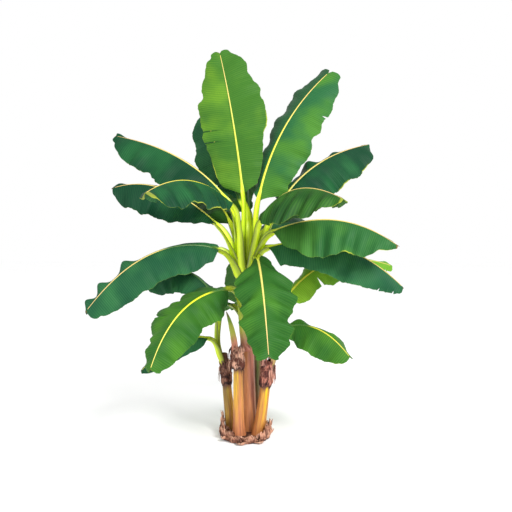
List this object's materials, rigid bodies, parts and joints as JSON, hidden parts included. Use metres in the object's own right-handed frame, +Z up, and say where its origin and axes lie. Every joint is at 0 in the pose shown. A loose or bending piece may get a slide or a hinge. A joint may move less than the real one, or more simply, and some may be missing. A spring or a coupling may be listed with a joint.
{
  "type": "banana plant",
  "caption": "Clump-forming banana plant: upright stems from one root, a crown of broad arching leaves, torn dry sheaths and a ring of old leaf bases round the foot.",
  "frame": {"origin": "centre of the main stem's flat cut at ground level", "axes": "+Z up, -Y towards the front, where the low front leaf hangs, +X to the right seen from the front"},
  "size_m": [2.4448, 1.9273, 3.1328],
  "materials": {
    "stem": "smooth ribbed stem skin, ochre to pink brown",
    "dry_sheath": "dry papery leaf bases, brown",
    "stalk": "bare leaf stalk, green to brown",
    "leaf": "waxy green blade with a pale midrib"
  },
  "bodies": {
    "root": {"stem_main": "stem", "stem_front_left": "stem", "stem_front_right": "stem", "stem_back_left": "stem", "stem_back_right": "stem", "sheath_front_left": "dry_sheath", "sheath_front_right": "dry_sheath", "sheath_back_left": "dry_sheath", "foot_scales": "dry_sheath", "bare_stalk": "stalk", "leaf_tall": "leaf", "leaf_upper_right": "leaf", "leaf_behind_tall": "leaf", "leaf_arched_left": "leaf", "leaf_arched_right": "leaf", "leaf_small_right": "leaf", "leaf_small_left": "leaf", "leaf_middle_left": "leaf", "leaf_long_right": "leaf", "leaf_low_right": "leaf", "leaf_back_high": "leaf", "leaf_back_right": "leaf", "leaf_back_left": "leaf", "leaf_long_left": "leaf", "leaf_back": "leaf", "leaf_front": "leaf", "leaf_back_low_left": "leaf", "leaf_front_left": "leaf", "leaf_pale_right": "leaf", "leaf_sucker_right": "leaf", "leaf_sucker_upper_left": "leaf", "leaf_sucker_lower_left": "leaf"}
  },
  "joints": []
}
